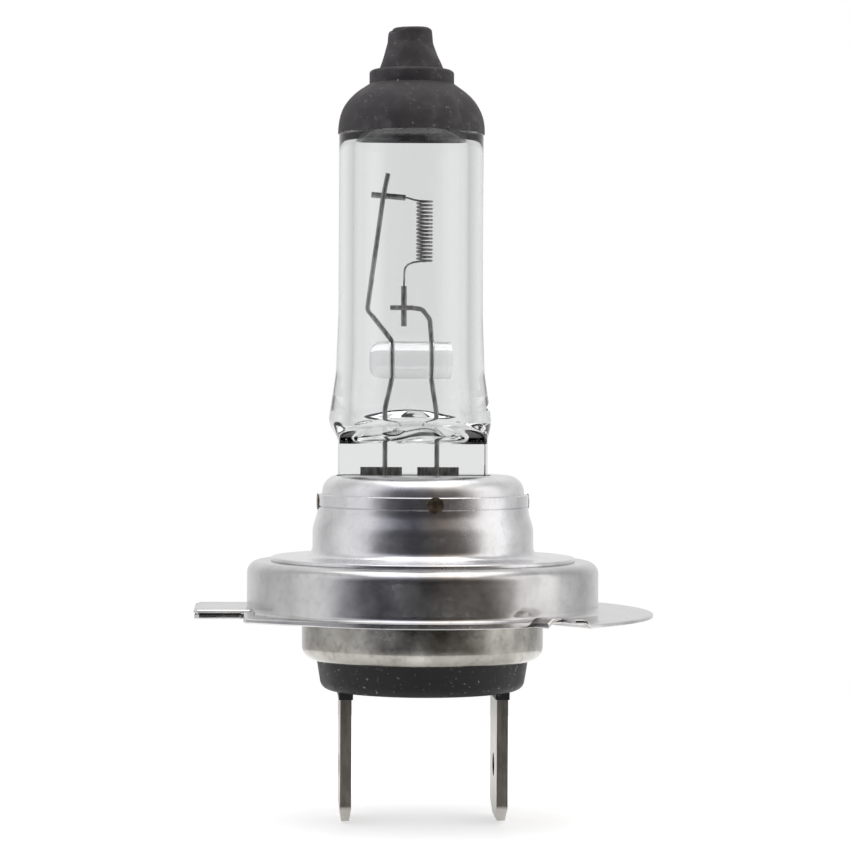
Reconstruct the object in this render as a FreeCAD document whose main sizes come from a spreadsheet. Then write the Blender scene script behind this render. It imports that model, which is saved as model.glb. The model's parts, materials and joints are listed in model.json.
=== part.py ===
"""Halogen headlight bulb with a two-blade prefocus cap, as a parametric FreeCAD document.

Millimetres. Z = 0 is the reference plane that the three cap bosses define, +Z runs up
the lamp's axis to the glass tip, and X runs through both contact blades. The reference
lug points to -X and the wide lobe of the cap's flange to +X.
"""
import FreeCAD, Part
import math
import os
import Sketcher

DOC = FreeCAD.newDocument("HeadlightBulb")
SHEET = DOC.addObject("Spreadsheet::Sheet", "Sizes")
NODES = []


class Size:
    """A length from the sheet, or a sum of such lengths, with the formula that gives it."""

    def __init__(self, formula, value):
        self.formula = formula
        self.value = value

    def join(self, other, sign, result):
        text = other.formula if isinstance(other, Size) else repr(other)
        return Size(f"({self.formula} {sign} {text})", result)

    def __add__(self, other):
        return self.join(other, "+", self.value + number(other))

    def __sub__(self, other):
        return self.join(other, "-", self.value - number(other))

    def __mul__(self, other):
        return self.join(other, "*", self.value * number(other))

    def __truediv__(self, other):
        return self.join(other, "/", self.value / number(other))

    def __neg__(self):
        return Size(f"(-1 * {self.formula})", -self.value)


def number(size):
    return size.value if isinstance(size, Size) else float(size)


def dimension(name, value):
    """Write one driving dimension into the next row of the sheet."""
    dimension.row += 1
    SHEET.set(f"A{dimension.row}", name)
    SHEET.set(f"B{dimension.row}", str(value))
    SHEET.setAlias(f"B{dimension.row}", name)
    return Size(f"Sizes.{name}", float(value))


dimension.row = 0


# ---------------------------------------------------------------- driving dimensions
# Fits
snug = dimension("snug", 0.02)                        # parts pressed or swaged together
loose = dimension("loose", 0.12)                      # parts that only have to go in

# Filament, on the lamp's axis
filament_bottom = dimension("filament_bottom", 24.9)  # reference plane to the near end
coil_pitch = dimension("coil_pitch", 0.267)
coil_turns = dimension("coil_turns", 16.5)
coil_outside = dimension("coil_outside", 1.22)
filament_wire = dimension("filament_wire", 0.14)

# Glass burner, a little off the axis because the filament is what gets centred
glass_shift = dimension("glass_shift", -0.98)
glass_radius = dimension("glass_radius", 5.22)
glass_wall = dimension("glass_wall", 1.07)
tip_top = dimension("tip_top", 41.74)
tip_radius = dimension("tip_radius", 1.42)
tip_height = dimension("tip_height", 3.1)
tip_flare = dimension("tip_flare", 0.84)
tip_round = dimension("tip_round", 0.28)
tip_neck_drop = dimension("tip_neck_drop", 1.1)
tip_neck_flare = dimension("tip_neck_flare", 0.1)
collar_radius = dimension("collar_radius", 2.98)
collar_height = dimension("collar_height", 1.0)
dome_drop = dimension("dome_drop", 5.6)
dome_level = tip_top - dome_drop
dome_round = dimension("dome_round", 3.5)
cavity_rise = dimension("cavity_rise", 0.06)
cavity_top = dome_level + cavity_rise
cavity_crown = dimension("cavity_crown", 1.2)
cavity_round = dimension("cavity_round", 2.6)
cavity_floor = dimension("cavity_floor", 13.3)
floor_round = dimension("floor_round", 1.2)
bulge_swell = dimension("bulge_swell", 0.64)
bulge_radius = glass_radius + bulge_swell
bulge_wall = dimension("bulge_wall", 1.34)
bulge_blend = dimension("bulge_blend", 4.2)
bulge_top = dimension("bulge_top", 21.0)
bulge_level = dimension("bulge_level", 13.5)
cavity_foot_rise = dimension("cavity_foot_rise", 1.8)
coat_thickness = dimension("coat_thickness", 0.08)
coat_drop = dimension("coat_drop", 2.02)
coat_bottom = dome_level - coat_drop

# Flat pinch seal under the chamber
pinch_shift = dimension("pinch_shift", -0.72)
pinch_half_width = dimension("pinch_half_width", 5.45)
pinch_thickness = dimension("pinch_thickness", 3.3)
pinch_bottom = dimension("pinch_bottom", 3.0)
pinch_top = dimension("pinch_top", 12.23)
pinch_shoulder_foot = dimension("pinch_shoulder_foot", 11.7)
pinch_shoulder_rise = dimension("pinch_shoulder_rise", 1.3)
pinch_round = dimension("pinch_round", 0.4)

# Foils and the wires fused into the pinch
foil_width = dimension("foil_width", 3.0)
foil_thickness = dimension("foil_thickness", 0.1)
foil_top = dimension("foil_top", 10.06)
foil_bottom = dimension("foil_bottom", 5.0)
foil_overlap = dimension("foil_overlap", 1.0)
foil_left_at = dimension("foil_left_at", -3.07)
foil_right_at = dimension("foil_right_at", 1.04)
support_wire = dimension("support_wire", 0.35)
lead_wire = dimension("lead_wire", 0.7)
lead_end_gap = dimension("lead_end_gap", 0.3)
long_wire_foot = dimension("long_wire_foot", -2.8)
short_wire_foot = dimension("short_wire_foot", 0.95)
leg_sleeve = dimension("leg_sleeve", 0.42)
wire_bend = dimension("wire_bend", 0.45)

# Quartz bridge that holds the two support wires apart
bridge_level = dimension("bridge_level", 17.62)
bridge_diameter = dimension("bridge_diameter", 2.82)
bridge_left = dimension("bridge_left", -3.91)
bridge_right = dimension("bridge_right", 1.91)
bridge_round = dimension("bridge_round", 0.9)
long_wire_in_bridge = dimension("long_wire_in_bridge", -2.31)
short_wire_in_bridge = dimension("short_wire_in_bridge", 0.57)

# Burner holder, a drawn steel cap over the pinch
sheet_steel = dimension("sheet_steel", 0.35)
holder_radius = dimension("holder_radius", 7.31)
holder_top = dimension("holder_top", 9.48)
holder_bottom = dimension("holder_bottom", 3.9)
holder_round = dimension("holder_round", 1.25)
clip_sheet = dimension("clip_sheet", 0.3)
clip_bottom = dimension("clip_bottom", 4.4)
clip_tab_reach = dimension("clip_tab_reach", 2.4)
clip_tab_width = dimension("clip_tab_width", 5.0)
tongue_width = dimension("tongue_width", 2.6)
tongue_slit = dimension("tongue_slit", 0.5)

# Focus sleeve, welded to the holder and to the ring once the filament is in place
sleeve_sheet = dimension("sleeve_sheet", 0.3)
sleeve_top = dimension("sleeve_top", 8.1)
sleeve_taper_top = dimension("sleeve_taper_top", 6.8)
sleeve_taper_bottom = dimension("sleeve_taper_bottom", 5.64)
sleeve_spread = dimension("sleeve_spread", 0.36)
sleeve_flare = dimension("sleeve_flare", 0.76)
sleeve_groove_level = dimension("sleeve_groove_level", 7.22)
sleeve_groove_depth = dimension("sleeve_groove_depth", 0.06)
weld_diameter = dimension("weld_diameter", 1.15)
weld_height = dimension("weld_height", 0.05)
weld_level = dimension("weld_level", 7.56)
WELD_COUNT = 4
WELD_TURN = 3.5                                       # degrees round from the blades' plane

# Prefocus ring: a flanged hat that carries the reference bosses
ring_radius = dimension("ring_radius", 12.7)
ring_top = dimension("ring_top", 3.28)
disc_inset = dimension("disc_inset", 1.7)
disc_radius = ring_radius - disc_inset                # the sleeve's foot, inside the ring's fillet
ring_hole = dimension("ring_hole", 7.0)
ring_round = dimension("ring_round", 0.85)
flange_top = dimension("flange_top", -0.35)
foot_round = dimension("foot_round", 0.4)
rim_reach = dimension("rim_reach", 0.5)
lobe_overhang = dimension("lobe_overhang", 3.95)
lobe_radius = ring_radius + lobe_overhang
lobe_start = dimension("lobe_start", 9.9)
ear_overhang = dimension("ear_overhang", 0.2)
ear_left = ring_radius + ear_overhang                 # the flange's straight edge behind the lug
ear_half_depth = dimension("ear_half_depth", 7.95)
flat_overhang = dimension("flat_overhang", 0.1)
flange_half_depth = ring_radius + flat_overhang
lug_overhang = dimension("lug_overhang", 3.76)
lug_reach = ring_radius + lug_overhang
lug_half_width = dimension("lug_half_width", 4.1)
lug_end_round = dimension("lug_end_round", 0.3)
hem_inset = dimension("hem_inset", 0.12)
dimple_angle = dimension("dimple_angle", 58.5)
dimple_length = dimension("dimple_length", 2.1)
dimple_height = dimension("dimple_height", 1.0)
dimple_depth = dimension("dimple_depth", 0.24)
dimple_level = dimension("dimple_level", 0.05)
lug_edge = dimension("lug_edge", 0.26)                # chamfer along both sides of its top
web_width = dimension("web_width", 2.5)               # slopes from the lug's top to the flange
boss_angle = dimension("boss_angle", 53.0)
boss_overhang = dimension("boss_overhang", 2.2)
boss_reach = ring_radius + boss_overhang
boss_top_width = dimension("boss_top_width", 1.16)
boss_foot_width = dimension("boss_foot_width", 2.4)

# Base shell, insulator and contact blades
shell_radius = dimension("shell_radius", 8.72)
shell_bottom = dimension("shell_bottom", -3.84)
shell_round = dimension("shell_round", 1.0)
shell_overhang = dimension("shell_overhang", 2.48)
shell_flange = shell_radius + shell_overhang
mouth_inset = dimension("mouth_inset", 1.07)
insulator_radius = shell_radius - mouth_inset
insulator_draft = dimension("insulator_draft", 0.35)
insulator_foot_radius = insulator_radius - insulator_draft
insulator_bottom = dimension("insulator_bottom", -6.0)
insulator_top = dimension("insulator_top", -1.0)
insulator_round = dimension("insulator_round", 0.7)
insulator_slope_foot = dimension("insulator_slope_foot", -3.4)
insulator_slope_top = dimension("insulator_slope_top", -2.6)
root_collar_height = dimension("root_collar_height", 0.5)
root_collar_depth = dimension("root_collar_depth", 0.9)  # how far it runs up into the block
root_collar_wall = dimension("root_collar_wall", 0.1)
blade_inset = dimension("blade_inset", 1.7)
blade_spread = insulator_foot_radius - blade_inset    # axis to the middle of a blade
blade_width = dimension("blade_width", 6.3)
blade_thickness = dimension("blade_thickness", 0.8)
blade_tip = dimension("blade_tip", -15.3)
blade_shoulder = dimension("blade_shoulder", -3.0)
blade_tag_width = dimension("blade_tag_width", 4.0)
blade_tag_top = dimension("blade_tag_top", 0.8)
blade_chamfer = dimension("blade_chamfer", 1.0)
blade_coin = dimension("blade_coin", 0.12)
blade_hole = dimension("blade_hole", 1.7)
blade_hole_up = dimension("blade_hole_up", 3.8)
DOME_FILLET_SHARE = 0.98                              # of the longest round the paint can cover
CUT_MARGIN = 1.0                                      # how far a cutting tool runs past its work
DOC.recompute()


# ---------------------------------------------------------------- helpers
def bind(thing, path, size):
    """Tie one property to the sheet, or set it where it is a plain number."""
    if isinstance(size, Size):
        thing.setExpression(path, size.formula)
    else:
        setattr(thing, path, size)


def new_body(name):
    return DOC.addObject("PartDesign::Body", name)


def finish_node(thing, name):
    """Give a sub-part the label that names its file."""
    thing.Label = name
    NODES.append(thing)
    return thing


def shift(thing, x=0, y=0, z=0):
    """Place a sub-part by the sheet."""
    for axis, size in zip("xyz", (x, y, z)):
        if isinstance(size, Size):
            thing.setExpression(f"Placement.Base.{axis}", size.formula)
        elif size:
            setattr(thing.Placement.Base, axis, size)
    return thing


def sketch_on(body, plane, name):
    """An empty sketch on one of the body's own origin planes."""
    sketch = body.newObject("Sketcher::SketchObject", name)
    support = [f for f in body.Origin.OriginFeatures if f.Role == plane]
    sketch.AttachmentSupport = [(support[0], "")]
    sketch.MapMode = "FlatFace"
    return sketch


def constrain(sketch, kind, *places, size=None):
    """Add a constraint, and tie its value to the sheet if it has one."""
    if size is None:
        return sketch.addConstraint(Sketcher.Constraint(kind, *places))
    index = sketch.addConstraint(Sketcher.Constraint(kind, *places, number(size)))
    if isinstance(size, Size):
        sketch.setExpression(f"Constraints[{index}]", size.formula)
    return index


def pin_point(sketch, geometry, end, corner):
    constrain(sketch, "DistanceX", -1, 1, geometry, end, size=corner[0])
    constrain(sketch, "DistanceY", -1, 1, geometry, end, size=corner[1])


def draw(sketch, corners, closed=True):
    """Draw lines through corners (x, y) or (x, y, radius); a radius rounds its corner."""
    spots = [FreeCAD.Vector(number(c[0]), number(c[1]), 0) for c in corners]
    count = len(corners)
    starts = list(spots)
    ends = list(spots)
    arcs = {}
    for i, corner in enumerate(corners):
        if len(corner) < 3:
            continue
        before = (spots[i - 1] - spots[i]).normalize()
        after = (spots[(i + 1) % count] - spots[i]).normalize()
        half = before.getAngle(after) / 2
        radius = number(corner[2])
        reach = radius / math.tan(half)
        middle = (before + after).normalize() * (radius / math.sin(half))
        ends[i] = spots[i] + before * reach
        starts[i] = spots[i] + after * reach
        turn = before.cross(after).z
        arcs[i] = (spots[i] + middle, radius, turn, corner)
    lines = {}
    for i in range(count if closed else count - 1):
        segment = Part.LineSegment(starts[i], ends[(i + 1) % count])
        lines[i] = sketch.addGeometry(segment, False)
    for i in range(count):
        into = lines.get((i - 1) % count) if closed or i else None
        out = lines.get(i)
        if i not in arcs:
            if into is not None and out is not None:
                constrain(sketch, "Coincident", into, 2, out, 1)
            pin_point(sketch, *((out, 1) if out is not None else (into, 2)), corners[i])
            continue
        centre, radius, turn, corner = arcs[i]
        first, last = (starts[i], ends[i]) if turn > 0 else (ends[i], starts[i])
        angles = [math.atan2((p - centre).y, (p - centre).x) for p in (first, last)]
        circle = Part.Circle(centre, FreeCAD.Vector(0, 0, 1), radius)
        arc = sketch.addGeometry(Part.ArcOfCircle(circle, angles[0], angles[1]), False)
        mark = sketch.addGeometry(Part.Point(spots[i]), True)
        pin_point(sketch, mark, 1, corner)
        constrain(sketch, "PointOnObject", mark, 1, into)
        constrain(sketch, "PointOnObject", mark, 1, out)
        near, far = (2, 1) if turn > 0 else (1, 2)
        constrain(sketch, "Tangent", into, 2, arc, near)
        constrain(sketch, "Tangent", out, 1, arc, far)
        constrain(sketch, "Radius", arc, size=corner[2])


def add_circle(sketch, x, y, radius):
    centre = FreeCAD.Vector(number(x), number(y), 0)
    circle = Part.Circle(centre, FreeCAD.Vector(0, 0, 1), number(radius))
    index = sketch.addGeometry(circle, False)
    pin_point(sketch, index, 3, (x, y))
    constrain(sketch, "Radius", index, size=radius)


def revolve(body, name, corners, cut=False):
    """Turn a half section, given as (radius, height) corners, about the body's Z axis."""
    sketch = sketch_on(body, "XZ_Plane", name + "_section")
    draw(sketch, corners)
    kind = "PartDesign::Groove" if cut else "PartDesign::Revolution"
    feature = body.newObject(kind, name)
    feature.Profile = sketch
    feature.ReferenceAxis = (sketch, ["V_Axis"])
    feature.Angle = 360
    return feature


def pad(body, name, sketch, length, both_ways=False):
    feature = body.newObject("PartDesign::Pad", name)
    feature.Profile = sketch
    bind(feature, "Length", length)
    feature.Midplane = both_ways
    return feature


def pocket_through(body, name, sketch):
    """Cut a sketch's outline right through the body, both ways from its plane."""
    feature = body.newObject("PartDesign::Pocket", name)
    feature.Profile = sketch
    feature.Type = "ThroughAll"
    feature.Midplane = True
    return feature


def pocket(body, name, sketch, length, flip=False):
    feature = body.newObject("PartDesign::Pocket", name)
    feature.Profile = sketch
    bind(feature, "Length", length)
    feature.Reversed = flip
    return feature


def rectangle(x_low, x_high, y_low, y_high):
    return [(x_low, y_low), (x_high, y_low), (x_high, y_high), (x_low, y_high)]


def box(name, lengths, corner):
    """A Part box with its sizes and its low corner tied to the sheet."""
    solid = DOC.addObject("Part::Box", name)
    for side, size in zip(("Length", "Width", "Height"), lengths):
        bind(solid, side, size)
    return shift(solid, *corner)


def cylinder(name, radius, height, foot):
    """An upright Part cylinder with its foot tied to the sheet."""
    solid = DOC.addObject("Part::Cylinder", name)
    bind(solid, "Radius", radius)
    bind(solid, "Height", height)
    return shift(solid, *foot)


def cut(base, tool, name):
    result = DOC.addObject("Part::Cut", name)
    result.Base = base
    result.Tool = tool
    return result


def fuse(parts, name):
    result = DOC.addObject("Part::MultiFuse", name)
    result.Shapes = parts
    return result


def bent_wire(name, corners, diameter):
    """A round wire bent in the XZ plane along rounded corners."""
    body = new_body(name + "_body")
    path = sketch_on(body, "XZ_Plane", name + "_path")
    draw(path, corners, closed=False)
    start = [FreeCAD.Vector(number(c[0]), 0, number(c[1])) for c in corners[:2]]
    section = sketch_on(body, "XY_Plane", name + "_section")
    add_circle(section, corners[0][0], 0, diameter / 2)
    bind(section, "AttachmentOffset.Base.z", corners[0][1])
    if abs(start[0].x - start[1].x) > 1e-9:
        raise ValueError(name + ": the first run of a wire stands upright")
    pipe = body.newObject("PartDesign::AdditivePipe", name + "_pipe")
    pipe.Profile = section
    pipe.Spine = path
    pipe.Mode = "Frenet"
    return finish_node(body, name)


# ---------------------------------------------------------------- filament and its legs
# The bent wires lie in the plane of the foils; the leg sleeves are welded on behind them.
sleeve_y = support_wire / 2 + leg_sleeve / 2
coil_radius = (coil_outside - filament_wire) / 2

UPPER_SLEEVE = [(-3.86, 29.72), (-1.37, 29.52)]       # ends in X, Z
LOWER_SLEEVE = [(-1.45, 20.13), (-1.45, 23.13)]
LEG_IN_SLEEVE = 0.5                                   # how far a filament leg goes in
LEG_BEND = 0.15                                       # inside the wire's bends
LOWER_LEG_CORNER = (-1.42, 0.1, 24.42)


def point(x, y, z):
    return FreeCAD.Vector(number(x), number(y), number(z))


def wire_end(spot, direction, radius):
    return Part.Face(Part.Wire(Part.makeCircle(radius, spot, direction)))


def half_turn(start, end, radius):
    """Half a turn of the coil: a piece of a torus whose plane leans by half the pitch."""
    across = end - start
    side = 1 if across.y > 0 else -1
    axis = across.cross(FreeCAD.Vector(-side, 0, 0))
    disc = wire_end(start, FreeCAD.Vector(1, 0, 0), radius)
    return disc.revolve((start + end) / 2, axis, 180)


def leg_runs(points, radius):
    """The straight runs and bends of a wire through points, end face against end face."""
    solids = []
    spot = points[0]
    for before, corner, after in zip(points, points[1:], points[2:]):
        into = (corner - before).normalize()
        out = (after - corner).normalize()
        angle = into.getAngle(out)
        reach = LEG_BEND * math.tan(angle / 2)
        foot = corner - into * reach
        solids.append(wire_end(spot, into, radius).extrude(foot - spot))
        axis = into.cross(out).normalize()
        centre = foot + axis.cross(into) * LEG_BEND
        solids.append(wire_end(foot, into, radius).revolve(centre, axis, math.degrees(angle)))
        spot = corner + out * reach
    run = points[-1] - spot
    return solids + [wire_end(spot, run, radius).extrude(run)]


def make_filament():
    """The coiled tungsten wire, half a turn over a whole number so both legs leave to -X."""
    wire_radius = number(filament_wire) / 2
    half_turns = round(number(coil_turns) * 2)
    rise = number(coil_pitch) / 2
    ends = [point(0, -coil_radius if i % 2 == 0 else coil_radius, filament_bottom + rise * i)
            for i in range(half_turns + 1)]
    turns = [half_turn(start, end, wire_radius) for start, end in zip(ends, ends[1:])]
    straight_out = point(-coil_radius, 0, 0)
    (deep_x, deep_z), (mouth_x, mouth_z) = UPPER_SLEEVE
    mouth = point(mouth_x, sleeve_y, mouth_z)
    along = (point(deep_x, sleeve_y, deep_z) - mouth).normalize()
    upper_leg = [ends[-1], ends[-1] + straight_out, mouth - along * LEG_BEND,
                 mouth + along * LEG_IN_SLEEVE]
    leg_x, leg_top = LOWER_SLEEVE[1]
    lower_leg = [ends[0], ends[0] + straight_out, point(*LOWER_LEG_CORNER),
                 point(leg_x, sleeve_y, leg_top + LEG_BEND),
                 point(leg_x, sleeve_y, leg_top - LEG_IN_SLEEVE)]
    runs = leg_runs(upper_leg, wire_radius) + leg_runs(lower_leg, wire_radius)
    feature = DOC.addObject("Part::Feature", "filament_feature")
    feature.Shape = turns[0].fuse(turns[1:] + runs)
    return finish_node(feature, "filament")


def make_leg_sleeve(name, ends):
    """A short tube crimped over one filament leg, leaning as its two ends say."""
    (x_low, z_low), (x_high, z_high) = ends
    length = math.hypot(x_high - x_low, z_high - z_low)
    outer = cylinder(name + "_outer", leg_sleeve / 2, length, (0, 0, 0))
    bore = cylinder(name + "_bore", filament_wire / 2 + snug, length, (0, 0, 0))
    tube = cut(outer, bore, name + "_tube")
    lean = math.degrees(math.atan2(x_high - x_low, z_high - z_low))
    tube.Placement.Rotation = FreeCAD.Rotation(FreeCAD.Vector(0, 1, 0), lean)
    tube.Placement.Base = FreeCAD.Vector(x_low, 0, z_low)
    shift(tube, y=sleeve_y)
    return finish_node(tube, name)


make_filament()
make_leg_sleeve("upper_leg_sleeve", UPPER_SLEEVE)
make_leg_sleeve("lower_leg_sleeve", LOWER_SLEEVE)

# ---------------------------------------------------------------- support wires and bridge
wire_foot = foil_top - foil_overlap
LONG_WIRE_LEVELS = (13.9, 16.2, 19.07)                # its bends below and above the bridge
LONG_WIRE_KNEE = (-4.11, 21.36)                       # X, Z
LONG_WIRE_ELBOW = (-3.0, 29.53)
LONG_WIRE_END = (-2.65, 31.24)
LONG_WIRE_KNEE_BEND = 0.8
SHORT_WIRE_LEVELS = (13.6, 16.1, 18.9)
SHORT_WIRE_KNEE = (0.38, 21.56)
SHORT_WIRE_END = (-2.45, 21.56)
SHORT_WIRE_KNEE_BEND = 1.4
bent_wire("long_support_wire", [
    (long_wire_foot, wire_foot),
    (long_wire_foot, LONG_WIRE_LEVELS[0], wire_bend),
    (long_wire_in_bridge, LONG_WIRE_LEVELS[1], wire_bend),
    (long_wire_in_bridge, LONG_WIRE_LEVELS[2], wire_bend),
    (*LONG_WIRE_KNEE, LONG_WIRE_KNEE_BEND),
    (*LONG_WIRE_ELBOW, wire_bend),
    LONG_WIRE_END,
], support_wire)
bent_wire("short_support_wire", [
    (short_wire_foot, wire_foot),
    (short_wire_foot, SHORT_WIRE_LEVELS[0], wire_bend),
    (short_wire_in_bridge, SHORT_WIRE_LEVELS[1], wire_bend),
    (short_wire_in_bridge, SHORT_WIRE_LEVELS[2], wire_bend),
    (*SHORT_WIRE_KNEE, SHORT_WIRE_KNEE_BEND),
    SHORT_WIRE_END,
], support_wire)


def make_bridge():
    body = new_body("bridge_body")
    sketch = sketch_on(body, "XZ_Plane", "bridge_section")
    radius = bridge_diameter / 2
    draw(sketch, [(bridge_left, 0), (bridge_left, radius, bridge_round),
                  (bridge_right, radius), (bridge_right, 0)])
    rod = body.newObject("PartDesign::Revolution", "bridge_rod")
    rod.Profile = sketch
    rod.ReferenceAxis = (sketch, ["H_Axis"])
    shift(body, z=bridge_level)
    bores = []
    for name, x in (("long", long_wire_in_bridge), ("short", short_wire_in_bridge)):
        foot = (x, 0, bridge_level - bridge_diameter)
        bores.append(cylinder(name + "_wire_bore", support_wire / 2 + snug,
                              bridge_diameter * 2, foot))
    return finish_node(cut(body, fuse(bores, "bridge_bores"), "bridge_bored"), "quartz_bridge")


make_bridge()


# ---------------------------------------------------------------- foils and outer leads
lead_top = foil_bottom + foil_overlap


def foil_box(name, x):
    return box(name, (foil_width, foil_thickness, foil_top - foil_bottom),
               (x - foil_width / 2, -(foil_thickness / 2), foil_bottom))


def wire_rods(name, wire_x, foil_x):
    """Straight stretches of one support wire and one outer lead, as cutting tools."""
    wire = cylinder(name + "_wire_rod", support_wire / 2, cavity_floor - wire_foot + CUT_MARGIN,
                    (wire_x, 0, wire_foot))
    lead = cylinder(name + "_lead_rod", lead_wire / 2, lead_top - pinch_bottom + CUT_MARGIN,
                    (foil_x, 0, pinch_bottom - CUT_MARGIN))
    return [wire, lead]


def make_foil(name, foil_x, wire_x):
    """A molybdenum strip, wrapped round the wire ends that are welded to it."""
    rods = fuse(wire_rods(name, wire_x, foil_x), name + "_rods")
    return finish_node(cut(foil_box(name + "_strip", foil_x), rods, name + "_cut"), name)


FOILS = (("foil_left", foil_left_at, long_wire_foot),
         ("foil_right", foil_right_at, short_wire_foot))
for foil_name, foil_x, wire_x in FOILS:
    make_foil(foil_name, foil_x, wire_x)

tag_face = blade_spread - blade_thickness / 2
lead_at_tag = tag_face - lead_wire / 2
lead_foot = insulator_top + lead_end_gap
LEADS = ((-1, "outer_lead_left", foil_left_at, (2.3, 1.3)),       # with the levels of its bends
         (1, "outer_lead_right", foil_right_at, (2.2, 1.1)))
for side, name, x, bends in LEADS:
    bent_wire(name, [
        (x, lead_top),
        (x, bends[0], wire_bend),
        (lead_at_tag * side, bends[1], wire_bend),
        (lead_at_tag * side, lead_foot),
    ], lead_wire)


# ---------------------------------------------------------------- glass burner
def dome_fillet():
    """The dome's round, kept short enough to end above the paint's lower edge."""
    collar_foot = tip_top - tip_height - collar_height
    turn = math.atan2(number(glass_radius - collar_radius), number(collar_foot - dome_level))
    longest = number(coat_drop) / math.tan(turn / 2)
    return dome_round if dome_round.value < longest else longest * DOME_FILLET_SHARE


def crown(extra=0.0):
    """The burner's closed top, from the tip to the tube, grown outwards by extra."""
    collar_top = tip_top - tip_height
    flare_radius = tip_radius + tip_flare
    return [
        (0, tip_top + extra),
        (tip_radius + extra, tip_top + extra, tip_round),
        (tip_radius + tip_neck_flare + extra, tip_top - tip_neck_drop + extra, tip_flare),
        (flare_radius + extra, collar_top + extra),
        (collar_radius + extra, collar_top + extra, tip_round),
        (collar_radius + extra, collar_top - collar_height + extra),
        (glass_radius + extra, dome_level + extra, dome_fillet()),
    ]


def make_glass():
    blank = new_body("glass_blank")
    revolve(blank, "glass_outside", crown() + [
        (glass_radius, bulge_top, bulge_radius),
        (glass_radius + (bulge_radius - glass_radius) / 4, bulge_top - bulge_blend,
         bulge_radius),
        (bulge_radius, bulge_level, floor_round),
        (bulge_radius, pinch_bottom),
        (0, pinch_bottom),
    ])
    bore = glass_radius - glass_wall
    low_bore = bulge_radius - bulge_wall
    revolve(blank, "gas_chamber", [
        (0, cavity_top),
        (bore, cavity_top - cavity_crown, cavity_round),
        (bore, bulge_top),
        (low_bore, bulge_level + cavity_foot_rise, floor_round),
        (low_bore, cavity_floor, floor_round),
        (0, cavity_floor),
    ], cut=True)
    beyond = bulge_radius + CUT_MARGIN
    below = pinch_bottom - CUT_MARGIN
    face = pinch_thickness / 2
    shoulder = pinch_shoulder_foot + pinch_shoulder_rise
    sides = sketch_on(blank, "YZ_Plane", "pinch_faces")
    for way in (1, -1):
        draw(sides, [(face * way, below), (beyond * way, below), (beyond * way, shoulder),
                     (face * way, pinch_shoulder_foot, pinch_round)])
    pocket_through(blank, "pinch_flats", sides)
    edges = sketch_on(blank, "XZ_Plane", "pinch_edges")
    middle = pinch_shift - glass_shift
    for way in (1, -1):
        edge = middle + pinch_half_width * way
        draw(edges, [(edge, below), (beyond * way, below), (beyond * way, pinch_top),
                     (edge, pinch_top, pinch_round)])
    pocket_through(blank, "pinch_sides", edges)
    shift(blank, x=glass_shift)
    rooms = []
    for name, foil_x, wire_x in FOILS:
        rooms.append(foil_box(name + "_room", foil_x))
        rooms += wire_rods(name + "_room", wire_x, foil_x)
    sealed = cut(blank, fuse(rooms, "seal_rooms"), "glass_round_seals")
    return finish_node(sealed, "glass_envelope")


make_glass()


def make_coating():
    """Heat-proof black paint over the crown, down to a sharp edge on the tube."""
    body = new_body("coating_body")
    inside = crown()
    outside = crown(coat_thickness)
    revolve(body, "coating_skin", outside
            + [(glass_radius + coat_thickness, coat_bottom), (glass_radius, coat_bottom)]
            + inside[::-1])
    shift(body, x=glass_shift)
    return finish_node(body, "anti_glare_coating")


make_coating()


# ---------------------------------------------------------------- burner holder and clip
def make_holder():
    body = new_body("holder_body")
    inner = holder_radius - sheet_steel
    revolve(body, "holder_cap", [
        (0, holder_top),
        (holder_radius, holder_top, holder_round),
        (holder_radius, holder_bottom),
        (inner, holder_bottom),
        (inner, holder_top - sheet_steel, holder_round - sheet_steel),
        (0, holder_top - sheet_steel),
    ])
    slot = sketch_on(body, "XY_Plane", "pinch_slot")
    half_x = pinch_half_width + loose
    half_y = pinch_thickness / 2 + loose
    draw(slot, rectangle(pinch_shift - half_x, pinch_shift + half_x, -half_y, half_y))
    pocket_through(body, "pinch_slot_cut", slot)
    return finish_node(body, "burner_holder")


def make_clip():
    """A folded strip that grips the pinch, with a spring tongue on each flat face."""
    body = new_body("clip_body")
    half_x = pinch_half_width + snug
    half_y = pinch_thickness / 2 + snug
    clip_top = holder_top - sheet_steel
    strip = sketch_on(body, "XY_Plane", "clip_strip")
    bind(strip, "AttachmentOffset.Base.z", clip_bottom)
    outer_x = half_x + clip_sheet
    outer_y = half_y + clip_sheet
    draw(strip, rectangle(-outer_x, outer_x, -outer_y, outer_y))
    draw(strip, rectangle(-half_x, half_x, -half_y, half_y))
    frame_top = holder_top - holder_round
    pad(body, "clip_frame", strip, frame_top - clip_bottom)
    half_tab = clip_tab_width / 2
    risers = sketch_on(body, "XY_Plane", "clip_risers")
    bind(risers, "AttachmentOffset.Base.z", frame_top)
    tabs = sketch_on(body, "XY_Plane", "clip_tabs")
    bind(tabs, "AttachmentOffset.Base.z", clip_top - clip_sheet)
    for way in (1, -1):
        draw(risers, rectangle(-half_tab, half_tab, half_y * way, outer_y * way))
        draw(tabs, rectangle(-half_tab, half_tab, half_y * way,
                             (half_y + clip_tab_reach) * way))
    pad(body, "clip_riser_pads", risers, clip_top - frame_top)
    pad(body, "clip_weld_tabs", tabs, clip_sheet)
    slits = sketch_on(body, "XZ_Plane", "tongue_slits")
    for way in (1, -1):
        near = tongue_width / 2 * way
        draw(slits, rectangle(near, near + tongue_slit * way,
                              clip_bottom + clip_sheet * 2, frame_top - clip_sheet * 2))
    pocket_through(body, "tongue_slits_cut", slits)
    shift(body, x=pinch_shift)
    return finish_node(body, "pinch_clip")


make_holder()
make_clip()

# ---------------------------------------------------------------- focus sleeve and welds
sleeve_radius = holder_radius + snug + sleeve_sheet
sleeve_low_radius = sleeve_radius + sleeve_spread


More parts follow.
